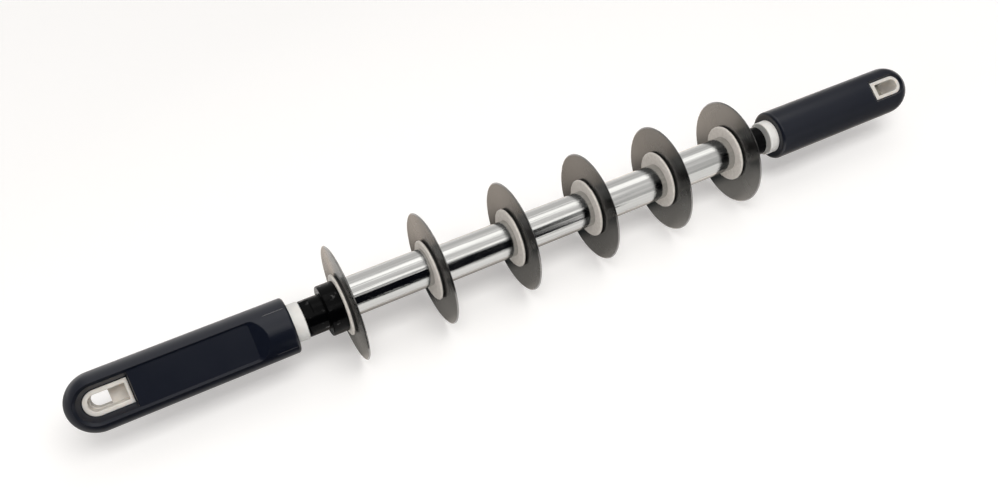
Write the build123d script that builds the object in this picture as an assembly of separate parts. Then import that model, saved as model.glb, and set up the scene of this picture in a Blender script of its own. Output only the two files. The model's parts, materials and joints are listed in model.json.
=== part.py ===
"""Rolling pastry cutter: round blades clamped on a rod that turns in two handles.

Millimetres, +Z up, standing on the blades' rims. +X runs along the rod towards the right handle,
and the origin is on the floor below the middle of the overall length.
"""
import os

from build123d import *
from build123d import SkipClean

os.makedirs("parts", exist_ok=True)

# Blades
blade_count = 6
blade_diameter = 64.0
blade_thickness = 1.0
blade_pitch = 50.0
bevel_width = 0.6
edge_thickness = 0.2

# Rod through the roller, with thinner journals for the handles
rod_diameter = 12.0
journal_diameter = 10.0
rod_end_chamfer = 0.8
rod_clearance = 0.05

# Hub washers, one on each face of each blade
washer_diameter = 34.0
washer_thickness = 2.3
washer_edge_round = 0.7
relief_depth = 1.2
relief_width = 1.6
spigot_length = 4.0
spigot_clearance = 0.05

# Spacer tubes, loose on the spigots and clamped a little off the axis: up and back, or down and forward
tube_diameter = 21.3
tube_wall = 1.2
tube_offsets = (2.2, 0.2, 0.0, -0.7, 0.1)
tube_offset_lean = 40.0

# Clamp nut at the left end and end nut at the right
flange_diameter = 27.6
flange_thickness = 8.9
left_neck_length = 11.0
right_neck_length = 11.5
left_neck_diameter = 19.6
right_neck_diameter = 17.6
nut_edge_round = 0.6
wrench_flat_width = 17.0
wrench_flat_length = 5.0
nut_roll = 8.0
spigot_end_gap = 0.4

# Bearing bushes
bush_collar_diameter = 20.6
bush_collar_reach = 6.3
bush_collar_seat = 6.0
bush_sleeve_diameter = 15.0
bush_sleeve_length = 36.5
bush_edge_round = 0.5
journal_clearance = 0.05
press_clearance = 0.02

# Play of the handles along the rod
thrust_gap = 0.3
end_play = 2.7

# Retaining washers and their screws on the rod's ends
retainer_diameter = 13.0
retainer_thickness = 1.5
retainer_clearance = 0.8
screw_diameter = 5.0
screw_length = 12.0
screw_head_diameter = 9.2
screw_head_height = 3.6
screw_socket_flats = 4.0
screw_socket_depth = 2.0
screw_clearance = 0.05
tapped_hole_spare = 2.0
cavity_end_gap = 1.0

# Handles
handle_diameter = 30.0
handle_length = 110.7
handle_front_round = 1.6
left_handle_roll = 50.0
right_handle_roll = 215.5

# Flat panel sunk into one side of a handle
panel_front = 20.4
panel_width = 18.6
panel_floor_wall = 2.2
panel_ramp_run_per_rise = 1.3
panel_side_run_per_rise = 1.0
panel_corner_round = 1.8

# Wells that lead to the eyelet, one from the panel and one from the plain side
well_depth = 3.7
well_margin = 0.4
well_ledge = 0.2
well_front_margin = 1.2
plain_sink = 3.35
plain_ramp_run_per_rise = 1.0
plain_side_run_per_rise = 0.6

# Hanging eyelets: a D-shaped tube with a web across the part nearest the blades
eyelet_width = 13.0
eyelet_reach = 15.5
eyelet_side_wall = 2.3
eyelet_front_wall = 1.7

# The eyelet's other half, which shows on the plain side, is slimmer and reaches nearer the blades
plain_ring_width = 12.0
plain_ring_reach = 16.6
plain_ring_offset = 0.3
plain_ring_side_wall = 2.2
plain_ring_front_wall = 3.1

# What both halves share
eyelet_edge_round = 0.4
web_reach = 5.5
web_thickness = 2.5
web_root = 0.8
web_drop = 1.2
eyelet_clearance = 0.02

# Radii and stations that follow from the sizes above, measured from the middle of the roller
blade_radius = blade_diameter / 2
rod_bore_radius = rod_diameter / 2 + rod_clearance
tube_bore_radius = tube_diameter / 2 - tube_wall
tube_play = max(abs(offset) for offset in tube_offsets)
spigot_radius = tube_bore_radius - tube_play - spigot_clearance
tube_length = blade_pitch - blade_thickness - 2 * washer_thickness
first_blade = -(blade_count - 1) * blade_pitch / 2
stack_end = -first_blade + blade_thickness / 2 + washer_thickness
left_neck_end = stack_end + flange_thickness + left_neck_length
right_neck_end = stack_end + flange_thickness + right_neck_length
left_bush_front = left_neck_end + thrust_gap
right_bush_front = right_neck_end + end_play - thrust_gap
bush_length = bush_collar_reach + bush_collar_seat + bush_sleeve_length
left_rod_end = left_neck_end + end_play + bush_length
right_rod_end = right_neck_end + end_play + bush_length
middle_x = (left_bush_front - right_bush_front) / 2
handle_radius = handle_diameter / 2
bush_sleeve_radius = bush_sleeve_diameter / 2
panel_height = bush_sleeve_radius + panel_floor_wall
well_height = panel_height - well_depth
plain_height = handle_radius - plain_sink
tip_centre = handle_length - handle_radius
eyelet_half_width = eyelet_width / 2
eyelet_front = tip_centre - eyelet_reach
plain_half_width = plain_ring_width / 2
plain_front = tip_centre - plain_ring_reach
plain_centre = tip_centre - plain_ring_offset
half_joint = (well_height - plain_height) / 2
cut_past = 2.0


def turned(*outline):
    """Ring or rod turned about the X axis from a half outline of (along, radius) points."""
    return revolve(Plane.XZ * make_face(Polyline(*outline, close=True)), axis=Axis.X)


def softened(part, radius, along, size):
    """Round the circular edges of one radius at one station along X."""
    edges = part.edges().filter_by(GeomType.CIRCLE).filter_by(
        lambda edge: abs(edge.radius - radius) < 1e-4 and abs(edge.center().X - along) < 1e-4
    )
    return fillet(edges, size)


def rod():
    """Rod with a shoulder at each nut's end, and a tapped hole in each end for the retainer's screw."""
    shaft = rod_diameter / 2
    journal = journal_diameter / 2
    hole = screw_diameter / 2 + screw_clearance
    depth = screw_length - retainer_thickness + tapped_hole_spare
    return turned(
        (depth - left_rod_end, 0),
        (depth - left_rod_end, hole),
        (-left_rod_end, hole),
        (-left_rod_end, journal - rod_end_chamfer),
        (rod_end_chamfer - left_rod_end, journal),
        (-left_neck_end, journal),
        (-left_neck_end, shaft),
        (right_neck_end, shaft),
        (right_neck_end, journal),
        (right_rod_end - rod_end_chamfer, journal),
        (right_rod_end, journal - rod_end_chamfer),
        (right_rod_end, hole),
        (right_rod_end - depth, hole),
        (right_rod_end - depth, 0),
    )


def blade():
    """Thin disc with a bevel ground on both faces of its rim."""
    half = blade_thickness / 2
    shoulder = blade_radius - bevel_width
    edge = edge_thickness / 2
    return turned(
        (-half, rod_bore_radius),
        (-half, shoulder),
        (-edge, blade_radius),
        (edge, blade_radius),
        (half, shoulder),
        (half, rod_bore_radius),
    )


def hub_washer():
    """Washer with its blade face at x = 0: a relieved rim, and a spigot for a tube or a nut."""
    rim = washer_diameter / 2
    step = rim - relief_width
    tip = washer_thickness + spigot_length
    blank = turned(
        (0, rod_bore_radius),
        (0, step),
        (relief_depth, step),
        (relief_depth, rim),
        (washer_thickness, rim),
        (washer_thickness, spigot_radius),
        (tip, spigot_radius),
        (tip, rod_bore_radius),
    )
    return softened(blank, rim, washer_thickness, washer_edge_round)


def spacer_tube():
    """Plain tube between two washers, its left end at x = 0."""
    return turned(
        (0, tube_bore_radius),
        (0, tube_diameter / 2),
        (tube_length, tube_diameter / 2),
        (tube_length, tube_bore_radius),
    )


def flanged_nut(neck_diameter, neck_length):
    """Nut with its seat at x = 0, a pocket for the washer's spigot and wrench flats at the neck's end."""
    flange = flange_diameter / 2
    neck = neck_diameter / 2
    pocket_radius = spigot_radius + spigot_clearance
    pocket_depth = spigot_length + spigot_end_gap
    end = flange_thickness + neck_length
    blank = turned(
        (0, pocket_radius),
        (0, flange),
        (flange_thickness, flange),
        (flange_thickness, neck),
        (end, neck),
        (end, rod_bore_radius),
        (pocket_depth, rod_bore_radius),
        (pocket_depth, pocket_radius),
    )
    blank = softened(blank, flange, 0, nut_edge_round)
    blank = softened(blank, flange, flange_thickness, nut_edge_round)
    blank = softened(blank, neck, end, nut_edge_round)
    flat_middle = end - wrench_flat_length / 2
    ring = Pos(flat_middle, 0, 0) * Cylinder(flange, wrench_flat_length, rotation=(0, 90, 0))
    keep = Pos(flat_middle, 0, 0) * Box(wrench_flat_length, flange_diameter, wrench_flat_width)
    return blank - (ring - keep)


def bush():
    """Bearing bush with its front at x = 0: a collar that shows, and a sleeve inside the handle."""
    bore = journal_diameter / 2 + journal_clearance
    collar = bush_collar_diameter / 2
    shoulder = bush_collar_reach + bush_collar_seat
    blank = turned(
        (0, bore),
        (0, collar),
        (shoulder, collar),
        (shoulder, bush_sleeve_radius),
        (bush_length, bush_sleeve_radius),
        (bush_length, bore),
    )
    return softened(blank, collar, 0, bush_edge_round)


def retainer():
    """Washer on the rod's end, its rod face at x = 0."""
    hole = screw_diameter / 2 + screw_clearance
    return turned(
        (0, hole),
        (0, retainer_diameter / 2),
        (retainer_thickness, retainer_diameter / 2),
        (retainer_thickness, hole),
    )


def retainer_screw():
    """Socket screw with the underside of its head at x = 0 and its shank towards -X."""
    shank = screw_diameter / 2
    head = screw_head_diameter / 2
    blank = turned(
        (-screw_length, 0),
        (-screw_length, shank),
        (0, shank),
        (0, head),
        (screw_head_height, head),
        (screw_head_height, 0),
    )
    corner_radius = screw_socket_flats / 3**0.5
    socket = extrude(Plane.YZ * RegularPolygon(corner_radius, 6), screw_socket_depth)
    return blank - Pos(screw_head_height - screw_socket_depth, 0, 0) * socket


def half_round(front, half_width, height, centre=tip_centre, corner=0.0):
    """Flat outline at a height: straight across at the front, half round about a centre at the tip."""
    back = front + corner
    inner = half_width - corner
    outline = [
        Line((centre, -half_width), (back, -half_width)),
        Line((front, -inner), (front, inner)),
        Line((back, half_width), (centre, half_width)),
        CenterArc((centre, 0), half_width, -90, 180),
    ]
    if corner > 0:
        outline.append(CenterArc((back, -inner), corner, 180, 90))
        outline.append(CenterArc((back, inner), corner, 90, 90))
    return Pos(0, 0, height) * make_face(Curve() + outline)


def sloped_pocket(floor, mouth):
    """Cutter with straight sloping sides between two half-round outlines."""
    return loft([floor, mouth], ruled=True)


def grip_blank():
    """Round handle along +X with its front face at x = 0, a softened front edge and a half-ball tip.

    The barrel is two stretches, so that the full-round one before the panel stays a face of its own.
    """
    back_of_round = handle_radius - handle_front_round
    outline = [
        Line((0, 0), (0, back_of_round)),
        CenterArc((handle_front_round, back_of_round), handle_front_round, 90, 90),
        Line((handle_front_round, handle_radius), (panel_front, handle_radius)),
        Line((panel_front, handle_radius), (tip_centre, handle_radius)),
        CenterArc((tip_centre, 0), handle_radius, 0, 90),
        Line((handle_length, 0), (0, 0)),
    ]
    return revolve(Plane.XZ * make_face(outline), axis=Axis.X, clean=False)


def bush_socket():
    """Stepped hole from the handle's front: collar seat, sleeve seat and room for the retainer."""
    collar = bush_collar_diameter / 2 + press_clearance
    sleeve = bush_sleeve_radius + press_clearance
    sleeve_end = bush_length - bush_collar_reach
    cavity = retainer_diameter / 2 + retainer_clearance
    cavity_end = sleeve_end + end_play + retainer_thickness + screw_head_height + cavity_end_gap
    return turned(
        (-cut_past, 0),
        (-cut_past, collar),
        (bush_collar_seat, collar),
        (bush_collar_seat, sleeve),
        (sleeve_end, sleeve),
        (sleeve_end, cavity),
        (cavity_end, cavity),
        (cavity_end, 0),
    )


def panel_pocket():
    """Cutter for the flat panel: a ramp at the front and sloped walls along the sides and the tip."""
    rise = handle_radius + cut_past - panel_height
    half_width = panel_width / 2
    ramp = rise * panel_ramp_run_per_rise
    side = rise * panel_side_run_per_rise
    corner = panel_corner_round
    floor = half_round(panel_front, half_width, panel_height, corner=corner)
    mouth = half_round(panel_front - ramp, half_width + side, panel_height + rise, corner=corner)
    return sloped_pocket(floor, mouth)


def eyelet_well():
    """Cutter that steps down from the panel to the eyelet's face."""
    floor = half_round(eyelet_front - well_margin, eyelet_half_width + well_margin, well_height)
    mouth = half_round(eyelet_front - well_front_margin, panel_width / 2 - well_ledge, panel_height)
    return sloped_pocket(floor, mouth)


def plain_well():
    """Dished cutter that steps down from the plain round side to the eyelet's other face."""
    front = plain_front - well_margin
    half_width = plain_half_width + well_margin
    rise = plain_sink + cut_past
    ramp = rise * plain_ramp_run_per_rise
    side = rise * plain_side_run_per_rise
    floor = half_round(front, half_width, -plain_height, plain_centre)
    mouth = half_round(front - ramp, half_width + side, -plain_height - rise, plain_centre)
    return sloped_pocket(floor, mouth)


def eyelet_blank(spare=0.0, past=0.0):
    """Outside of the eyelet's two halves, which meet halfway through the tip.

    The slot in the handle is the same shape, with a little to spare and cut past both faces.
    """
    upper = half_round(eyelet_front - spare, eyelet_half_width + spare, half_joint - spare)
    lower = half_round(plain_front - spare, plain_half_width + spare, -plain_height - past, plain_centre)
    upper_height = well_height + past - half_joint + spare
    lower_height = half_joint + spare + plain_height + past
    return extrude(upper, upper_height) + extrude(lower, lower_height)


def eyelet_bore():
    """Hole through both halves, a step smaller on the plain side."""
    upper_front = eyelet_front + eyelet_front_wall
    upper_half_width = eyelet_half_width - eyelet_side_wall
    lower_front = plain_front + plain_ring_front_wall
    lower_half_width = plain_half_width - plain_ring_side_wall
    upper = half_round(upper_front, upper_half_width, half_joint)
    lower = half_round(lower_front, lower_half_width, -plain_height, plain_centre)
    return extrude(upper, well_height - half_joint) + extrude(lower, half_joint + plain_height)


def handle():
    """Dark grip: panel upwards, front face at x = 0, tip towards +X."""
    slot = eyelet_blank(eyelet_clearance, handle_radius)
    with SkipClean():
        return grip_blank() - bush_socket() - panel_pocket() - eyelet_well() - plain_well() - slot


def eyelet():
    """Light D-shaped tube through the handle's tip, with a web that leaves the hanging hole open."""
    web_front = eyelet_front + eyelet_front_wall - web_root
    web_length = tip_centre - web_reach - web_front
    web_width = eyelet_width - 2 * eyelet_side_wall + 2 * web_root
    web = Box(web_length, web_width, web_thickness)
    ring = eyelet_blank() - eyelet_bore()
    faces = ring.faces().sort_by(Axis.Z)
    ring = fillet(faces[0].edges() + faces[-1].edges(), eyelet_edge_round)
    return ring + Pos(web_front + web_length / 2, 0, half_joint - web_drop) * web


def on_left(station, roll=0.0):
    """Place a piece drawn towards +X on the left end, pointing towards -X."""
    return Pos(middle_x - station, 0, blade_radius) * Rot(X=roll) * Rot(Z=180)


def on_right(station, roll=0.0):
    """Place a piece drawn towards +X on the right end."""
    return Pos(middle_x + station, 0, blade_radius) * Rot(X=roll)


nodes = {"rod": on_right(0) * rod()}

for index in range(blade_count):
    station = first_blade + index * blade_pitch
    face = station + blade_thickness / 2
    number = index + 1
    nodes[f"blade_{number}"] = on_right(station) * blade()
    nodes[f"washer_{number}_left"] = on_left(blade_thickness / 2 - station) * hub_washer()
    nodes[f"washer_{number}_right"] = on_right(face) * hub_washer()
    if index < blade_count - 1:
        off_axis = Rot(X=-tube_offset_lean) * Pos(0, 0, tube_offsets[index])
        nodes[f"spacer_tube_{number}"] = on_right(face + washer_thickness) * off_axis * spacer_tube()

left_nut = flanged_nut(left_neck_diameter, left_neck_length)
right_nut = flanged_nut(right_neck_diameter, right_neck_length)
nodes["left_clamp_nut"] = on_left(stack_end, nut_roll) * left_nut
nodes["right_end_nut"] = on_right(stack_end, nut_roll) * right_nut

sides = {
    "left": (on_left, left_bush_front, left_rod_end, left_handle_roll),
    "right": (on_right, right_bush_front, right_rod_end, right_handle_roll),
}
for side, (place, bush_front, rod_end, roll) in sides.items():
    handle_front = bush_front + bush_collar_reach
    nodes[f"{side}_bush"] = place(bush_front) * bush()
    nodes[f"{side}_handle"] = place(handle_front, roll) * handle()
    nodes[f"{side}_eyelet"] = place(handle_front, roll) * eyelet()
    nodes[f"{side}_retainer"] = place(rod_end) * retainer()
    nodes[f"{side}_retainer_screw"] = place(rod_end + retainer_thickness) * retainer_screw()

for name, shape in nodes.items():
    export_step(shape, f"parts/{name}.step")
    print(name, "volume", round(shape.volume, 1))
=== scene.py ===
# %% [markdown]
# # A rolling pastry cutter
# Six round steel blades are clamped on one rod with chromed tubes between them. Rolled over dough, they
# cut it into even strips. A dark handle turns on each end of the rod. The shapes come ready from the
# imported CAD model, so this lesson is about everything that a solid model lacks: the camera, the light
# and the way that each material answers to it.

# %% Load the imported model
import json
import math

import bmesh
import bpy
from mathutils import Matrix, Vector


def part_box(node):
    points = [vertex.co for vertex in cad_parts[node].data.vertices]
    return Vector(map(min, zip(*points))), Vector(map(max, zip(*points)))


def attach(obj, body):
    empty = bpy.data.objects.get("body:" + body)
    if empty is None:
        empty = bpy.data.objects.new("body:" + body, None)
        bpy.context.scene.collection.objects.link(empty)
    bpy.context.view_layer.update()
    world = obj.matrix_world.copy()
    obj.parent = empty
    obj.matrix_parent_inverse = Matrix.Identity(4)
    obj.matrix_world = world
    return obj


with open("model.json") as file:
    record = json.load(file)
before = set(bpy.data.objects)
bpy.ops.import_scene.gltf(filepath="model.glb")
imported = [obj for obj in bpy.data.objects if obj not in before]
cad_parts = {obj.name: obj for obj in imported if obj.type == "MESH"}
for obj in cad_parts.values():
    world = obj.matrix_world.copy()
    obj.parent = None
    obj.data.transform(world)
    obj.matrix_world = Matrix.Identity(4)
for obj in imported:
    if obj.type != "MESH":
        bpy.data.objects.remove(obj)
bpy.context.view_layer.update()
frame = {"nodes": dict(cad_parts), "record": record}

nodes = frame["nodes"]
scene = bpy.context.scene


def in_mm(corner):
    return [round(1000 * v, 1) for v in corner]


# %% [markdown]
# ## The camera
# The picture looks down at the cutter from the left, so the near handle is large and the far one small.
# That strong perspective is a matter of distance, not of the lens. The place and tilt below were worked
# out from the round rims of the blades, which are circles of a known size at a known spacing.

# %% Camera
camera_place = Vector((-0.20295, -0.35017, 0.40396))
camera_tilt = 45.502
camera_turn = -30.289
camera_lens = 34.78
camera_shift = (-0.0576, 0.0009)
camera_sensor = 36.0
camera_sees_from = 0.01

camera_data = bpy.data.cameras.new("camera")
camera_data.lens = camera_lens
camera_data.sensor_width = camera_sensor
camera_data.shift_x, camera_data.shift_y = camera_shift
camera_data.clip_start = camera_sees_from
camera = bpy.data.objects.new("camera", camera_data)
camera.location = camera_place
camera.rotation_euler = (math.radians(camera_tilt), 0.0, math.radians(camera_turn))
scene.collection.objects.link(camera)
scene.camera = camera
scene.view_settings.view_transform = "Standard"
print("camera at", in_mm(camera_place), "mm, lens", camera_lens, "mm")

# %% [markdown]
# ## Helpers for node trees
# Every material here is a small tree of nodes. One helper adds a node, sets its options and either
# fills in or links its sockets, so that the cells after it read like a recipe.

# %% Node helpers
def place(tree, kind, sockets=None, **options):
    """Add a node, set its options, and set or link its input sockets by name or number."""
    made = tree.nodes.new(kind)
    for option, value in options.items():
        setattr(made, option, value)
    for socket, value in (sockets or {}).items():
        if isinstance(value, bpy.types.NodeSocket):
            tree.links.new(value, made.inputs[socket])
        else:
            made.inputs[socket].default_value = value
    return made


def maths(tree, operation, first, second=0.0):
    return place(tree, "ShaderNodeMath", {0: first, 1: second}, operation=operation).outputs[0]


def between(tree, mask, first, second):
    """Number that goes from the first to the second where the mask goes from 0 to 1."""
    return place(tree, "ShaderNodeMix", {0: mask, 2: first, 3: second}, data_type="FLOAT").outputs[0]


def remap(tree, value, from_low, from_high, to_low, to_high):
    limits = {"From Min": from_low, "From Max": from_high, "To Min": to_low, "To Max": to_high}
    return place(tree, "ShaderNodeMapRange", {"Value": value, **limits}).outputs[0]


print("node helpers ready")

# %% [markdown]
# ## The table
# The cutter stands on a plain white table. The floor is a pale matt sheet that takes the shadow like any
# other surface. The camera sees a glow on top, which brings the table up to paper white, as a
# photographer does afterwards, and keeps the shadow faint. It grows outwards, where the lamps light the
# table less. Mirrors see four fifths of that glow, so the metal shows the same white table. The glow
# lights nothing, because only those two kinds of ray find it. In a mirror of a mirror the table is made
# darker. That is a liberty of the stage, which the dark sectors of the blades need.

# %% Stage helpers
def plain_material(name):
    """Material with an empty tree, for the things round the cutter."""
    made = bpy.data.materials.new(name)
    made.use_nodes = True
    made.node_tree.nodes.clear()
    return made, made.node_tree


def stage_sheet(name, corners, faces, material):
    """Flat sheets that belong to the studio and not to the cutter."""
    mesh = bpy.data.meshes.new(name)
    mesh.from_pydata(corners, [], faces)
    mesh.materials.append(material)
    sheet = bpy.data.objects.new(name, mesh)
    scene.collection.objects.link(sheet)
    print(name, "of", len(faces), "sheets")
    return sheet


# %% Table
table_half = 3.0
table_white = (0.78, 0.78, 0.78, 1.0)
table_glow_near, table_glow_far = 0.28, 0.70
glow_grows_from, glow_grows_to = 0.35, 1.9
glow_share_in_mirrors = 0.8
table_dimmed_twice = 0.8
past_one_mirror = 1.5
glow_colour = (1.0, 0.97, 0.955, 1.0)

white_table, tree = plain_material("white_table")
path = place(tree, "ShaderNodeLightPath").outputs
mirrored = maths(tree, "MAXIMUM", path["Is Glossy Ray"], path["Is Transmission Ray"])
where = place(tree, "ShaderNodeTexCoord").outputs["Object"]
away = place(tree, "ShaderNodeVectorMath", {0: where}, operation="LENGTH").outputs["Value"]
table_glow = remap(tree, away, glow_grows_from, glow_grows_to, table_glow_near, table_glow_far)
share_in_mirrors = maths(tree, "MULTIPLY", mirrored, glow_share_in_mirrors)
share_seen = between(tree, path["Is Camera Ray"], share_in_mirrors, 1.0)
glow_seen = maths(tree, "MULTIPLY", table_glow, share_seen)
glow = place(tree, "ShaderNodeEmission", {"Color": glow_colour, "Strength": glow_seen})
matt = place(tree, "ShaderNodeBsdfDiffuse", {"Color": table_white})
both = place(tree, "ShaderNodeAddShader", {0: matt.outputs[0], 1: glow.outputs[0]})
twice_mirrored = maths(tree, "GREATER_THAN", path["Glossy Depth"], past_one_mirror)
dimmed = maths(tree, "MULTIPLY", twice_mirrored, table_dimmed_twice)
dark = place(tree, "ShaderNodeEmission", {"Strength": 0.0})
seen = place(tree, "ShaderNodeMixShader", {0: dimmed, 1: both.outputs[0], 2: dark.outputs[0]})
place(tree, "ShaderNodeOutputMaterial", {"Surface": seen.outputs[0]})
low, high = -table_half, table_half
corners = [(low, low, 0), (high, low, 0), (high, high, 0), (low, high, 0)]
stage_sheet("table", corners, [(0, 1, 2, 3)], white_table)

# %% [markdown]
# ## The sky
# The shadows in the picture are faint and lie close under the cutter, so much of the light is a white
# sky on all sides. Matt surfaces only ask how bright it is as a whole. Mirrors show it direction by
# direction, so for them a colour ramp follows it from the horizon in front, over the top, to the horizon
# behind. It is duller in front, where the room is, and brightest low behind, where the white backdrop
# begins. It is duller to the far left and the far right, which keeps the two handles dark.

# %% Ramp helpers
def grey(level):
    return (level, level, level)


def fill_ramp(ramp, steps):
    """Give a colour ramp its stops, as pairs of place and colour from first to last."""
    stops = ramp.color_ramp.elements
    for place_along, _ in steps[1:-1]:
        stops.new(place_along)
    for stop, (_, colour) in zip(stops, steps):
        stop.color = (*colour, 1.0)


print("ramp helpers ready")

# %% Sky
sky_on_matt = 0.45
sky_by_angle = {0: 0.60, 25: 0.72, 45: 0.82, 125: 0.82, 148: 0.66, 165: 0.78, 180: 1.0}
sky_left_share = 0.4
sky_left_full, sky_left_from = -0.35, -0.1
sky_right_share = 0.22
sky_right_from, sky_right_full = 0.53, 0.60
sky_colour = (1.0, 0.985, 0.97, 1.0)

world = bpy.data.worlds.new("studio")
scene.world = world
world.use_nodes = True
tree = world.node_tree
tree.nodes.clear()
heading = place(tree, "ShaderNodeTexCoord").outputs["Generated"]
parts = place(tree, "ShaderNodeSeparateXYZ", {0: heading}).outputs
forward = maths(tree, "MULTIPLY", parts["Y"], -1.0)
climb = maths(tree, "ARCTAN2", parts["Z"], forward)
ramp = place(tree, "ShaderNodeValToRGB", {0: maths(tree, "DIVIDE", climb, math.pi)})
fill_ramp(ramp, [(angle / 180, grey(level)) for angle, level in sky_by_angle.items()])
left_share = remap(tree, parts["X"], sky_left_full, sky_left_from, sky_left_share, 1.0)
right_share = remap(tree, parts["X"], sky_right_from, sky_right_full, 1.0, sky_right_share)
sides = maths(tree, "MULTIPLY", left_share, right_share)
seen_in_mirrors = maths(tree, "MULTIPLY", ramp.outputs[0], sides)
path = place(tree, "ShaderNodeLightPath").outputs
unseen = between(tree, path["Is Glossy Ray"], sky_on_matt, seen_in_mirrors)
strength = between(tree, path["Is Camera Ray"], unseen, 1.0)
sky = place(tree, "ShaderNodeBackground", {"Color": sky_colour, "Strength": strength})
place(tree, "ShaderNodeOutputWorld", {"Surface": sky.outputs[0]})
print("sky", sky_on_matt, "on matt surfaces, and in mirrors by angle", sky_by_angle)

# %% [markdown]
# ## Lamps
# The chromed tubes tell where the lamps are: each shows two bright lines, one for a broad ceiling panel
# up on the right and one for a soft strip high in front. The hanging hole in the near handle tells where
# most of the light comes from: its far wall lies in shadow, so the main lamp is in front and high. That
# lamp only lights matt surfaces, because in the tubes the strip already stands for it. A weak fill from
# the left, for matt surfaces too, brightens the faces of the washers.

# %% Lamps
lamp_colour = (1.0, 0.985, 0.96)


def panel_lamp(name, middle, long_way, length, width, brightness, in_mirrors=True):
    """Flat lamp that faces the cutter, with its long side along one direction."""
    data = bpy.data.lights.new(name, "AREA")
    data.shape = "RECTANGLE"
    data.size = length
    data.size_y = width
    data.color = lamp_colour
    data.energy = math.pi * length * width * brightness
    lamp = bpy.data.objects.new(name, data)
    lamp.location = middle
    lamp.visible_glossy = in_mirrors
    back = Vector(middle).normalized()
    side = Vector(long_way).normalized()
    side = (side - side.dot(back) * back).normalized()
    lamp.rotation_euler = Matrix((side, back.cross(side), back)).transposed().to_euler()
    scene.collection.objects.link(lamp)
    print(name, round(data.energy, 2), "W")


panel_lamp(
    "ceiling_panel",
    middle=(0.38, 0.21, 1.03),
    long_way=(1.0, -0.08, 0.0),
    length=0.9,
    width=0.5,
    brightness=0.75,
)
panel_lamp(
    "front_strip",
    middle=(0.30, -0.80, 1.06),
    long_way=(1.0, -0.1, 0.0),
    length=0.6,
    width=0.3,
    brightness=0.75,
)
panel_lamp(
    "main_lamp",
    middle=(0.0, -0.45, 1.1),
    long_way=(1.0, 0.0, 0.0),
    length=0.9,
    width=0.45,
    brightness=6.0,
    in_mirrors=False,
)
panel_lamp(
    "left_fill",
    middle=(-1.1, -0.25, 0.55),
    long_way=(0.0, 1.0, 0.0),
    length=0.6,
    width=0.5,
    brightness=2.4,
    in_mirrors=False,
)

# %% [markdown]
# ## A black screen for the chrome
# A mirror-bright tube has no colour of its own. It shows what stands round it, and in an all-white room
# it would vanish. Here a black screen stands in front and on the left, where it is higher, as a studio
# hangs black cloth. From its foot a black mat runs over the table towards the cutter. The tubes draw
# both out into one long dark stripe, and the near handle keeps its sides dark. All this only exists for
# mirrors: it throws no shadow and the camera looks through it.

# %% Cloth helpers
def for_mirrors_only(sheet):
    sheet.visible_camera = False
    sheet.visible_diffuse = False
    sheet.visible_shadow = False


def flat_cloth(name, colour):
    """Material that shows one colour in every light."""
    made, tree = plain_material(name)
    cloth = place(tree, "ShaderNodeEmission", {"Color": colour, "Strength": 1.0})
    place(tree, "ShaderNodeOutputMaterial", {"Surface": cloth.outputs[0]})
    return made


# %% Black screen
screen_front = -1.2
screen_left = -1.3
screen_back = 0.2
screen_right = 0.49
screen_right_top = 0.66
screen_top = 1.0
screen_bend = -0.25
screen_left_top = 2.2
screen_step_low = 0.55
screen_step_high = 0.75
mat_near = -0.128
mat_near_right = 0.1
mat_under_handle = -0.02
mat_step = -0.144
just_up = 0.002
cloth_colour = (0.0020, 0.0026, 0.0045, 1.0)

corners = [
    (screen_left, screen_front, just_up),
    (screen_right, screen_front, just_up),
    (screen_right, screen_front, screen_step_low),
    (screen_right_top, screen_front, screen_step_high),
    (screen_right_top, screen_front, screen_top),
    (screen_bend, screen_front, screen_top),
    (screen_left, screen_front, screen_left_top),
    (screen_left, screen_back, screen_left_top),
    (screen_left, screen_back, just_up),
    (mat_near_right, mat_near, just_up),
    (mat_step, mat_near, just_up),
    (mat_step, mat_under_handle, just_up),
    (screen_left, mat_under_handle, just_up),
]
front_face = (0, 1, 2, 3, 4, 5, 6)
left_face = (0, 6, 7, 8)
mat_face = (0, 12, 11, 10, 9, 1)
black_cloth = flat_cloth("black_cloth", cloth_colour)
black_screen = stage_sheet("black_screen", corners, [front_face, left_face, mat_face], black_cloth)
for_mirrors_only(black_screen)

# %% [markdown]
# ## Grey mats for the handles' bellies
# The far handle mirrors the table in front of it on the right. White table there would give it a light
# belly, and black would make it vanish, so a grey mat lies there. Its left edge bends round the part of
# the table that the last tube mirrors, which stays white. A second mat, a lighter grey, lies under the
# near handle. It starts at the black mat and widens to the left, clear of what the first blade mirrors.

# %% Grey mats
far_mat = [
    (0.158, -0.012),
    (0.168, -0.045),
    (0.183, -0.074),
    (0.263, -0.195),
    (0.547, -0.62),
    (0.9, -1.1),
    (2.0, -1.1),
    (2.0, -0.012),
]
near_mat_back = 0.04
near_mat_back_left = 0.6
near_mat = [
    (screen_left, mat_under_handle),
    (mat_step, mat_under_handle),
    (mat_step, near_mat_back),
    (screen_left, near_mat_back_left),
]
far_grey = (0.235, 0.23, 0.225, 1.0)
near_grey = (0.33, 0.325, 0.32, 1.0)

for name, outline, colour in (("far_mat", far_mat, far_grey), ("near_mat", near_mat, near_grey)):
    corners = [(x, y, just_up) for x, y in outline]
    face = tuple(range(len(corners)))
    for_mirrors_only(stage_sheet(name, corners, [face], flat_cloth(name + "_cloth", colour)))

# %% [markdown]
# ## A shaded card for the blades
# Seen from the camera, the blades mirror the table close under and behind the roller. There the tubes'
# own shadow lies, which is darker in a mirror than the bright table lets it seem to the eye. A card on
# the table, again for mirrors only, is shaded from front to back by a colour ramp along Y. Its bright
# parts are warm and its dark part is cool, as the blades show them. It grows brighter to the right,
# because the last blades look brighter in the picture.

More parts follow.
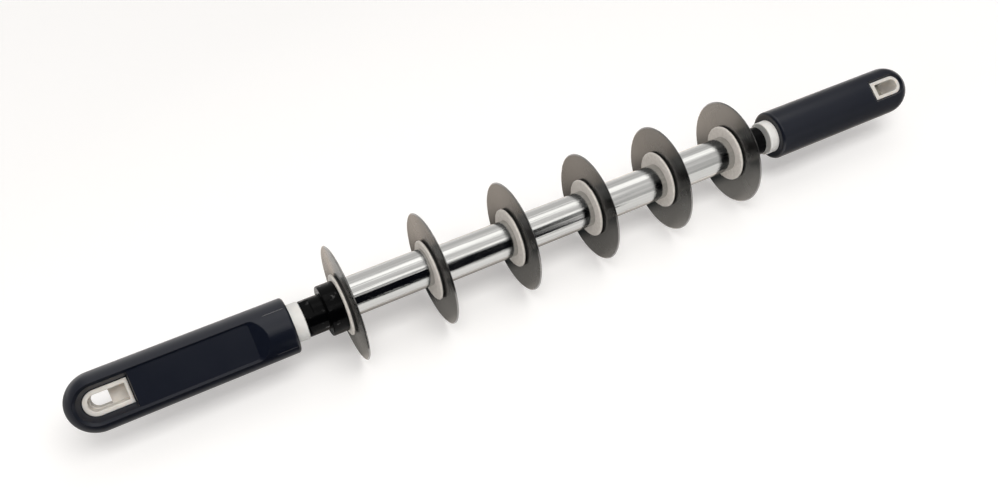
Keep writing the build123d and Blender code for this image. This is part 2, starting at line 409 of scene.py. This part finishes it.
# %% Shaded card
card_left = -0.144
card_right = 0.28
card_front = -0.018
card_back = 0.12
card_shades = {
    -0.018: (0.86, 0.79, 0.72),
    -0.01: (0.340, 0.318, 0.292),
    0.004: (0.295, 0.279, 0.258),
    0.012: (0.036, 0.041, 0.042),
    0.036: (0.046, 0.051, 0.052),
    0.06: (0.805, 0.705, 0.615),
    0.12: (0.825, 0.725, 0.635),
}
card_brighter_from, card_brighter_to, card_brighter = 0.02, 0.095, 1.65

shaded_card, tree = plain_material("shaded_card")
where = place(tree, "ShaderNodeTexCoord").outputs["Object"]
parts = place(tree, "ShaderNodeSeparateXYZ", {0: where}).outputs
from_front = remap(tree, parts["Y"], card_front, card_back, 0.0, 1.0)
ramp = place(tree, "ShaderNodeValToRGB", {0: from_front})
card_depth = card_back - card_front
fill_ramp(ramp, [((y - card_front) / card_depth, shade) for y, shade in card_shades.items()])
level = remap(tree, parts["X"], card_brighter_from, card_brighter_to, 1.0, card_brighter)
glow = place(tree, "ShaderNodeEmission", {"Color": ramp.outputs[0], "Strength": level})
place(tree, "ShaderNodeOutputMaterial", {"Surface": glow.outputs[0]})
under_mats = just_up / 2
corners = [
    (card_left, card_front, under_mats),
    (card_right, card_front, under_mats),
    (card_right, card_back, under_mats),
    (card_left, card_back, under_mats),
]
for_mirrors_only(stage_sheet("shaded_card", corners, [(0, 1, 2, 3)], shaded_card))

# %% [markdown]
# ## Shared surface effects
# Several materials share the same small faults of real making, so each effect is a node group that is
# built once and placed wherever it is needed with its own numbers.

# %% Group helpers
NUMBER = "NodeSocketFloat"
ARROW = "NodeSocketVector"


def new_group(name, inputs, outputs):
    """Start a shader node group with named sockets, and return it with its two ends."""
    group = bpy.data.node_groups.new(name, "ShaderNodeTree")
    for socket, value in inputs.items():
        group.interface.new_socket(socket, in_out="INPUT", socket_type=NUMBER).default_value = value
    for socket, kind in outputs.items():
        group.interface.new_socket(socket, in_out="OUTPUT", socket_type=kind)
    print("group", name, "gives", ", ".join(outputs))
    return group, group.nodes.new("NodeGroupInput").outputs, group.nodes.new("NodeGroupOutput").inputs


def use(tree, group, **inputs):
    """Place a group in a material, with its inputs by name, and give its outputs."""
    sockets = {name.replace("_", " "): value for name, value in inputs.items()}
    return place(tree, "ShaderNodeGroup", sockets, node_tree=group).outputs


# %% [markdown]
# ### Moulded grain
# Plastic copies the fine sparked skin of its mould. Up close it is a field of tiny dimples, and over
# centimetres the colour drifts a little. Both come from noise in the object's own coordinates, one scale
# each, so the grain stays on the piece when a handle turns.

# %% Moulded grain
mottle_low, mottle_high = 0.3, 0.7

grain, given, out = new_group(
    "moulded_grain", {"Grain Size": 0.0004, "Mottle Size": 0.008}, {"Dimples": NUMBER, "Mottle": NUMBER}
)
where = place(grain, "ShaderNodeTexCoord").outputs["Object"]
fine_scale = maths(grain, "DIVIDE", 1.0, given["Grain Size"])
broad_scale = maths(grain, "DIVIDE", 1.0, given["Mottle Size"])
fine = place(grain, "ShaderNodeTexNoise", {"Vector": where, "Scale": fine_scale, "Detail": 3.0})
broad = place(grain, "ShaderNodeTexNoise", {"Vector": where, "Scale": broad_scale, "Detail": 2.0})
grain.links.new(fine.outputs[0], out["Dimples"])
mottle = remap(grain, broad.outputs[0], mottle_low, mottle_high, 0.0, 1.0)
grain.links.new(mottle, out["Mottle"])

# %% [markdown]
# ### Soft edges
# No moulded edge is razor sharp. The Bevel node looks round each edge and bends the surface's direction
# as a small rounding would, and how far it bends tells where the edges are. Materials paint them paler
# there, as worn edges, and on the grips also as a painted edge highlight.

# %% Soft edges
agrees_on_flats, agrees_on_edges = 0.995, 0.85

edges, given, out = new_group("soft_edges", {"Radius": 0.0004}, {"Normal": ARROW, "Edge": NUMBER})
rounded = place(edges, "ShaderNodeBevel", {"Radius": given["Radius"]}, samples=6).outputs[0]
plain = place(edges, "ShaderNodeNewGeometry").outputs["Normal"]
compared = place(edges, "ShaderNodeVectorMath", {0: rounded, 1: plain}, operation="DOT_PRODUCT")
bent = remap(edges, compared.outputs["Value"], agrees_on_flats, agrees_on_edges, 0.0, 1.0)
edges.links.new(rounded, out["Normal"])
edges.links.new(bent, out["Edge"])

# %% [markdown]
# ### Drawn lines
# Tubes and rods are pulled through a die, which leaves faint lines along their length. Noise that is
# stretched a hundredfold along the rod makes such lines on any round piece, without a seam.

# %% Drawn lines
streak_low, streak_high = 0.35, 0.65

drawn, given, out = new_group(
    "drawn_lines", {"Line Width": 0.0012, "Line Length": 0.25}, {"Ridges": NUMBER, "Streaks": NUMBER}
)
where = place(drawn, "ShaderNodeTexCoord").outputs["Object"]
across = maths(drawn, "DIVIDE", 1.0, given["Line Width"])
along = maths(drawn, "DIVIDE", 1.0, given["Line Length"])
stretch = place(drawn, "ShaderNodeCombineXYZ", {0: along, 1: across, 2: across}).outputs[0]
pulled = place(drawn, "ShaderNodeVectorMath", {0: where, 1: stretch}, operation="MULTIPLY").outputs[0]
die_marks = {"Vector": pulled, "Scale": 1.0, "Detail": 3.0, "Roughness": 0.6}
lines = place(drawn, "ShaderNodeTexNoise", die_marks).outputs[0]
drawn.links.new(lines, out["Ridges"])
drawn.links.new(remap(drawn, lines, streak_low, streak_high, 0.0, 1.0), out["Streaks"])

# %% [markdown]
# ### Turned rings
# A blade is ground and polished while it spins, so its marks are circles about the rod. The distance
# from the rod's axis, fed to noise of one dimension, gives rings of uneven width. The distance itself
# comes out too, for anything that changes towards the rim.

# %% Turned rings
axis_height = 0.032
ring_low, ring_high = 0.3, 0.7

turned, given, out = new_group(
    "turned_rings", {"Ring Width": 0.0006}, {"Ridges": NUMBER, "Rings": NUMBER, "From Axis": NUMBER}
)
where = place(turned, "ShaderNodeTexCoord").outputs["Object"]
parts = place(turned, "ShaderNodeSeparateXYZ", {0: where}).outputs
above = maths(turned, "SUBTRACT", parts["Z"], axis_height)
outward = place(turned, "ShaderNodeCombineXYZ", {1: parts["Y"], 2: above}).outputs[0]
from_axis = place(turned, "ShaderNodeVectorMath", {0: outward}, operation="LENGTH").outputs["Value"]
step = maths(turned, "DIVIDE", from_axis, given["Ring Width"])
wheel_marks = {"W": step, "Scale": 1.0, "Detail": 3.0}
rings = place(turned, "ShaderNodeTexNoise", wheel_marks, noise_dimensions="1D").outputs[0]
turned.links.new(rings, out["Ridges"])
turned.links.new(remap(turned, rings, ring_low, ring_high, 0.0, 1.0), out["Rings"])
turned.links.new(from_axis, out["From Axis"])

# %% [markdown]
# ### Handling marks
# Fingers leave broad faint smears on anything polished. They hardly change the colour, but they change
# how sharply the surface mirrors, so this mask goes to the roughness of metals and plastics alike.

# %% Handling marks
smear_low, smear_high = 0.4, 0.7

marks, given, out = new_group("handling_marks", {"Smear Size": 0.018}, {"Smear": NUMBER})
where = place(marks, "ShaderNodeTexCoord").outputs["Object"]
smear_scale = maths(marks, "DIVIDE", 1.0, given["Smear Size"])
finger_marks = {"Vector": where, "Scale": smear_scale, "Detail": 5.0, "Distortion": 0.6}
smear = place(marks, "ShaderNodeTexNoise", finger_marks).outputs[0]
marks.links.new(remap(marks, smear, smear_low, smear_high, 0.0, 1.0), out["Smear"])

# %% [markdown]
# ## Recipes for a finish
# Each material is one Principled shader with three things that vary over the surface: its colour, its
# roughness and its small relief. Three helpers lay them on, each driven by a mask from a group. What is
# the same all over, such as being metal, is set straight on the shader by a fourth.

# %% Finish helpers
finishes = {}


def new_finish(slot):
    """Start the material for one slot of the record, and give its tree and its main shader."""
    finish = bpy.data.materials.new(slot)
    finish.use_nodes = True
    finishes[slot] = finish
    print("finish", slot)
    return finish.node_tree, finish.node_tree.nodes["Principled BSDF"]


def blended(tree, mask, first, second):
    """Colour that goes from the first to the second where the mask goes from 0 to 1."""
    sockets = {0: mask}
    for number, colour in ((6, first), (7, second)):
        linked = isinstance(colour, bpy.types.NodeSocket)
        sockets[number] = colour if linked else (*colour, 1.0)
    return place(tree, "ShaderNodeMix", sockets, data_type="RGBA").outputs[2]


def paint(tree, shader, mask, dark, light):
    tree.links.new(blended(tree, mask, dark, light), shader.inputs["Base Color"])


def polish(tree, shader, mask, sharp, dull):
    tree.links.new(remap(tree, mask, 0.0, 1.0, sharp, dull), shader.inputs["Roughness"])


def emboss(tree, shader, ridges, depth, normal=None):
    sockets = {"Height": ridges, "Distance": depth, "Strength": 1.0}
    if normal is not None:
        sockets["Normal"] = normal
    tree.links.new(place(tree, "ShaderNodeBump", sockets).outputs[0], shader.inputs["Normal"])


def all_over(shader, settings):
    for socket, value in settings.items():
        shader.inputs[socket].default_value = value


# %% [markdown]
# ## The grips
# The handles are moulded from a dark blue-black plastic with a soft, lightly sparked skin. It is nearly
# black, so what the eye sees is the sheen: a broad grey light along the top. Its strength comes from the
# specular level and its width from the roughness, and the grain breaks it up. Edges are painted a little
# paler, partly as worn edges and partly as a painted edge highlight. The lines where the mould's halves
# met are painted paler still, through an attribute on their mesh, partly as rubbing and partly as a
# painted highlight.

# %% Grips
grip_deep = (0.0042, 0.0062, 0.0135)
grip_pale = (0.0054, 0.0074, 0.0150)
grip_worn_edge_highlight = (0.013, 0.014, 0.019)
grip_rubbed_highlight = (0.13, 0.13, 0.135)
grip_sharp, grip_dull = 0.30, 0.36
grip_relief = 0.000006

tree, grip = new_finish("grip_dark")
skin = use(tree, grain, Grain_Size=0.00035, Mottle_Size=0.02)
rim = use(tree, edges, Radius=0.0005)
smear = use(tree, marks, Smear_Size=0.025)
rubbed_highlight = place(tree, "ShaderNodeAttribute", attribute_name="rubbed_highlight").outputs["Fac"]
plastic = blended(tree, skin["Mottle"], grip_deep, grip_pale)
# Edges are painted paler: partly worn edges, partly a painted edge highlight.
plastic = blended(tree, rim["Edge"], plastic, grip_worn_edge_highlight)
# Parting lines are painted pale: partly rubbing, partly a painted highlight.
paint(tree, grip, rubbed_highlight, plastic, grip_rubbed_highlight)
polish(tree, grip, smear["Smear"], grip_sharp, grip_dull)
emboss(tree, grip, skin["Dimples"], grip_relief, rim["Normal"])
all_over(grip, {"Specular IOR Level": 0.5})

# %% [markdown]
# ## The nuts
# The two nuts that clamp the stack are jet black. Fingers have rubbed their skin shiny in spots, so the
# lamps show there as small flecks and not as one even line. The body keeps a low specular level, and a
# clear coat, masked by noise of about three millimetres, makes the shiny spots.

# %% Nuts
nut_deep = (0.0009, 0.0010, 0.0012)
nut_worn = (0.0030, 0.0031, 0.0036)
nut_sharp, nut_dull = 0.16, 0.22
nut_relief = 0.00010
fleck_from, fleck_full = 0.62, 0.69

tree, nut = new_finish("nut_black")
skin = use(tree, grain, Grain_Size=0.0030, Mottle_Size=0.01)
rim = use(tree, edges, Radius=0.0004)
paint(tree, nut, rim["Edge"], nut_deep, nut_worn)
polish(tree, nut, skin["Mottle"], nut_sharp, nut_dull)
emboss(tree, nut, skin["Dimples"], nut_relief, rim["Normal"])
flecks = remap(tree, skin["Dimples"], fleck_from, fleck_full, 0.0, 1.0)
tree.links.new(flecks, nut.inputs["Coat Weight"])
all_over(nut, {"Coat Roughness": 0.10, "Specular IOR Level": 0.08})

# %% [markdown]
# ## The hub washers
# The washers that hold each blade are pressed from a pale filled plastic. They look speckled, so the
# mottle is small, and the dull surface takes a high roughness. Beside the blade each has a relief, which
# is painted dark as the shade in the gap against the blade. It is found by the distance to the nearest
# blade, which a ping-pong of X gives, because the blades stand at one even pitch.

# %% Washers
hub_speck = (0.76, 0.71, 0.655)
hub_pale = (0.88, 0.835, 0.785)
seam_painted_shade = (0.07, 0.067, 0.064)
seam_full, seam_none = 0.0016, 0.0018
hub_sharp, hub_dull = 0.5, 0.58
hub_relief = 0.00002


def middle_x(node):
    low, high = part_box(node)
    return (low[0] + high[0]) / 2


first_blade = middle_x("blade_1")
blade_pitch = middle_x("blade_2") - first_blade

tree, hub = new_finish("hub_plastic")
skin = use(tree, grain, Grain_Size=0.0005, Mottle_Size=0.0016)
rim = use(tree, edges, Radius=0.0004)
where = place(tree, "ShaderNodeTexCoord").outputs["Object"]
parts = place(tree, "ShaderNodeSeparateXYZ", {0: where}).outputs
along = maths(tree, "SUBTRACT", parts["X"], first_blade)
from_blade = maths(tree, "PINGPONG", along, blade_pitch / 2)
seam = remap(tree, from_blade, seam_none, seam_full, 0.0, 1.0)
# The strip of each washer beside its blade is painted dark as shade.
paint(tree, hub, seam, blended(tree, skin["Mottle"], hub_speck, hub_pale), seam_painted_shade)
polish(tree, hub, skin["Mottle"], hub_sharp, hub_dull)
emboss(tree, hub, skin["Dimples"], hub_relief, rim["Normal"])
print("blades every", round(1000 * blade_pitch, 2), "mm")

# %% [markdown]
# ## The bushes
# A white nylon bush carries each handle on the rod. Nylon lets a little light in before it comes out
# again, which softens the shading. A trace of subsurface scattering does that.

# %% Bushes
bush_cream = (0.80, 0.79, 0.765)
bush_white = (0.85, 0.845, 0.825)
bush_sharp, bush_dull = 0.38, 0.46
bush_relief = 0.00001
nylon_share, nylon_depth = 0.2, 0.001
even_scatter = (1.0, 0.9, 0.8)

tree, bush = new_finish("bush_white")
skin = use(tree, grain, Grain_Size=0.0008, Mottle_Size=0.006)
rim = use(tree, edges, Radius=0.0003)
paint(tree, bush, skin["Mottle"], bush_cream, bush_white)
polish(tree, bush, skin["Mottle"], bush_sharp, bush_dull)
emboss(tree, bush, skin["Dimples"], bush_relief, rim["Normal"])
all_over(bush, {
    "Subsurface Weight": nylon_share,
    "Subsurface Radius": even_scatter,
    "Subsurface Scale": nylon_depth,
})

# %% [markdown]
# ## The eyelets
# The hanging hole of each handle is lined with a beige plastic eyelet. Light bounces about inside the
# hole and through the thin wall, so it too lets some light in. A web closes the part of the hole nearest
# the blades. Behind it, seen from the handle's plain side, is a blind pocket, which is painted dark as
# the shade that lies in it. The pocket is found by its place along the handle and by its rise from the
# rod's axis towards the panel, which is below zero on the plain side. The two panels face different
# ways, so each side has its own.

# %% Eyelets
eyelet_shade = (0.68, 0.645, 0.60)
eyelet_pale = (0.75, 0.715, 0.67)
eyelet_painted_shade = (0.215, 0.205, 0.17)
eyelet_sharp, eyelet_dull = 0.42, 0.5
eyelet_relief = 0.00001
eyelet_share, eyelet_depth = 0.6, 0.003
panel_turns = {"left": math.radians(40.0), "right": math.radians(-125.5)}
pocket_end = 0.2459
pocket_top, pocket_full = -0.0050, -0.0053
pocket_mouth, pocket_clean = -0.0095, -0.0110

tree, eyelet = new_finish("eyelet_grey")
skin = use(tree, grain, Grain_Size=0.0006, Mottle_Size=0.004)
rim = use(tree, edges, Radius=0.0003)
where = place(tree, "ShaderNodeTexCoord").outputs["Object"]
parts = place(tree, "ShaderNodeSeparateXYZ", {0: where}).outputs
on_left = maths(tree, "LESS_THAN", parts["X"], 0.0)
out_y = between(tree, on_left, -math.cos(panel_turns["right"]), -math.cos(panel_turns["left"]))
out_z = between(tree, on_left, math.sin(panel_turns["right"]), math.sin(panel_turns["left"]))
rise_y = maths(tree, "MULTIPLY", parts["Y"], out_y)
rise_z = maths(tree, "MULTIPLY", maths(tree, "SUBTRACT", parts["Z"], axis_height), out_z)
rise = maths(tree, "ADD", rise_y, rise_z)
under_web = remap(tree, rise, pocket_top, pocket_full, 0.0, 1.0)
inside = remap(tree, rise, pocket_clean, pocket_mouth, 0.0, 1.0)
beside_web = maths(tree, "LESS_THAN", maths(tree, "ABSOLUTE", parts["X"]), pocket_end)
pocket_shade = maths(tree, "MULTIPLY", maths(tree, "MULTIPLY", under_web, inside), beside_web)
# The blind pocket behind the web is painted dark as shade.
paint(tree, eyelet, pocket_shade, blended(tree, skin["Mottle"], eyelet_shade, eyelet_pale), eyelet_painted_shade)
polish(tree, eyelet, skin["Mottle"], eyelet_sharp, eyelet_dull)
emboss(tree, eyelet, skin["Dimples"], eyelet_relief, rim["Normal"])
all_over(eyelet, {
    "Subsurface Weight": eyelet_share,
    "Subsurface Radius": even_scatter,
    "Subsurface Scale": eyelet_depth,
})

# %% [markdown]
# ## The spacer tubes
# The tubes are drawn steel with a bright chrome plate. Chrome is a mirror, but it follows the faint
# lines of the drawn metal under it, so its reflections run into fine streaks along the tube. The streaks
# are in the colour, where the plate is thin, and in the relief.

# %% Tubes
chrome_thin = (0.55, 0.555, 0.545)
chrome_full = (0.66, 0.662, 0.65)
chrome_sharp, chrome_dull = 0.09, 0.15
chrome_relief = 0.00010

tree, tube = new_finish("tube_chrome")
pulled = use(tree, drawn, Line_Width=0.0011, Line_Length=0.12)
smear = use(tree, marks, Smear_Size=0.02)
paint(tree, tube, pulled["Streaks"], chrome_thin, chrome_full)
polish(tree, tube, smear["Smear"], chrome_sharp, chrome_dull)
emboss(tree, tube, pulled["Ridges"], chrome_relief)
all_over(tube, {"Metallic": 1.0})

# %% [markdown]
# ## The blades
# Each blade is a steel disc that was polished while it spun. Its scratches are too fine to see one by
# one, but together they smear every reflection across themselves, outwards from the rod. That is why a
# pan lid or a record shows bright and dark sectors like the hands of a clock. The Anisotropic socket
# does this. The Tangent node, turned round the rod's axis, tells it which way the scratches run. The
# cutting edge is ground afterwards. A thin line round the rim is painted brighter, partly as the ground
# steel and partly as a painted highlight along the rim.

# %% Blades
blade_dull = (0.204, 0.206, 0.205)
blade_bright = (0.223, 0.225, 0.224)
edge_bright_highlight = (0.33, 0.325, 0.32)
edge_from, edge_full = 0.0313, 0.0315
blade_sharp, blade_hazy = 0.24, 0.29
blade_relief = 0.000001
quarter_turn = 0.25

tree, blade = new_finish("blade_steel")
ground = use(tree, turned, Ring_Width=0.0007)
smear = use(tree, marks, Smear_Size=0.02)
edge = remap(tree, ground["From Axis"], edge_from, edge_full, 0.0, 1.0)
steel = blended(tree, ground["Rings"], blade_dull, blade_bright)
# The rim line is painted brighter: partly ground steel, partly a painted highlight.
paint(tree, blade, edge, steel, edge_bright_highlight)
polish(tree, blade, smear["Smear"], blade_sharp, blade_hazy)
emboss(tree, blade, ground["Ridges"], blade_relief)
all_over(blade, {"Metallic": 1.0, "Anisotropic": 0.9, "Anisotropic Rotation": quarter_turn})
round_the_rod = place(tree, "ShaderNodeTangent", direction_type="RADIAL", axis="X")
tree.links.new(round_the_rod.outputs[0], blade.inputs["Tangent"])

# %% [markdown]
# ## The rod
# The rod runs through everything and shows only where a gap leaves it bare. It is plain drawn steel, so
# it takes the same lines as the tubes, but finer and duller.

# %% Rod
rod_dull = (0.48, 0.48, 0.47)
rod_bright = (0.58, 0.58, 0.57)
rod_sharp, rod_hazy = 0.2, 0.3
rod_relief = 0.00001

tree, rod = new_finish("rod_steel")
pulled = use(tree, drawn, Line_Width=0.0006, Line_Length=0.1)
paint(tree, rod, pulled["Streaks"], rod_dull, rod_bright)
polish(tree, rod, pulled["Streaks"], rod_sharp, rod_hazy)
emboss(tree, rod, pulled["Ridges"], rod_relief)
all_over(rod, {"Metallic": 1.0})

# %% [markdown]
# ## The retainers and screws
# Inside each handle a turned disc and a screw keep it on the rod. Nobody sees them until the handle is
# taken apart, but they are dressed as well, with the fine rings that a lathe leaves.

# %% Screws
screw_dull = (0.45, 0.45, 0.44)
screw_bright = (0.55, 0.55, 0.54)
screw_sharp, screw_hazy = 0.25, 0.35
screw_relief = 0.000005

tree, screw = new_finish("fastener_steel")
cut = use(tree, turned, Ring_Width=0.0003)
paint(tree, screw, cut["Rings"], screw_dull, screw_bright)
polish(tree, screw, cut["Rings"], screw_sharp, screw_hazy)
emboss(tree, screw, cut["Ridges"], screw_relief)
all_over(screw, {"Metallic": 1.0})

# %% [markdown]
# ## Dress the nodes
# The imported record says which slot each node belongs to, so one loop gives every solid its finish.

# %% Dress the nodes
slot_of = {row["node"]: row["material_slot"] for row in frame["record"]["subparts"]}
for name, node in nodes.items():
    node.data.materials.clear()
    node.data.materials.append(finishes[slot_of[name]])
print("dressed", len(nodes), "nodes in", len(finishes), "finishes")

# %% [markdown]
# ## Parting lines
# A mould opens in two halves, and where they meet they leave a thin raised line on the plastic. On these
# handles it shows on the plain stretch in front of the sunk panel, on both sides of it. A picture could
# be bumped on, but a real bead catches the light from every side. Each is a low half-round ridge whose
# ends run out to almost nothing, a short strip of rings joined by faces. The beads are painted a pale
# grey, partly as rubbing and partly as a painted highlight of the light line that the picture shows.
# The first of each pair shows paler in the picture, so its pale paint is stronger than the second's.

# %% Parting lines
grip_radius = 0.015
bead_half_width = 0.00028
bead_height = 0.00014
bead_sink = 0.00004
bead_near = 0.1572
bead_far = 0.1686
bead_taper = 0.0012
bead_least = 0.05
bead_rings = 16
bead_points = 7
bead_from_panel = math.radians(43.9)


def parting_bead(name, body, side, turn, rubbed_highlight_level):
    """Low ridge along a barrel, at one angle about the rod from the front upwards."""
    out_way = Vector((0.0, -math.cos(turn), math.sin(turn)))
    round_way = Vector((0.0, math.sin(turn), math.cos(turn)))
    shape = bmesh.new()
    loops = []
    for ring in range(bead_rings + 1):
        x = bead_near + (bead_far - bead_near) * ring / bead_rings
        middle = Vector((side * x, 0.0, axis_height))
        room = min(x - bead_near, bead_far - x) / bead_taper
        size = math.sqrt(max(bead_least, min(1.0, room)))
        loop = []
        for point in range(bead_points):
            bow = math.pi * point / (bead_points - 1)
            offset = size * bead_half_width * math.cos(bow)
            rise = size * bead_height * math.sin(bow) - bead_sink
            on_barrel = middle + (grip_radius + rise) * out_way + offset * round_way
            loop.append(shape.verts.new(on_barrel))
        loops.append(loop)
    for first, second in zip(loops, loops[1:]):
        for point in range(bead_points):
            after = (point + 1) % bead_points
            shape.faces.new((first[point], first[after], second[after], second[point]))
    shape.faces.new(loops[0])
    shape.faces.new(loops[-1])
    bmesh.ops.recalc_face_normals(shape, faces=shape.faces)
    mesh = bpy.data.meshes.new(name)
    shape.to_mesh(mesh)
    shape.free()
    for face in mesh.polygons:
        face.use_smooth = len(face.vertices) == 4
    # The level of the pale paint is stored on the mesh: partly rubbing, partly a painted highlight.
    rubbed_highlight_mark = mesh.attributes.new("rubbed_highlight", "FLOAT", "POINT")
    for mark in rubbed_highlight_mark.data:
        mark.value = rubbed_highlight_level
    mesh.materials.append(finishes["grip_dark"])
    bead = bpy.data.objects.new(name, mesh)
    scene.collection.objects.link(bead)
    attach(bead, body)
    print(name, "at", round(math.degrees(turn), 1), "degrees")


# %% Beads on both handles
# Strength of the pale paint on each bead: partly rubbing, partly a painted highlight.
strong_rubbed_highlight, weak_rubbed_highlight = 1.0, 0.2

for hand, panel_turn in panel_turns.items():
    side = -1 if hand == "left" else 1
    body = hand + "_grip"
    parting_bead(hand + "_parting_line_a", body, side, panel_turn + bead_from_panel, strong_rubbed_highlight)
    parting_bead(hand + "_parting_line_b", body, side, panel_turn - bead_from_panel, weak_rubbed_highlight)
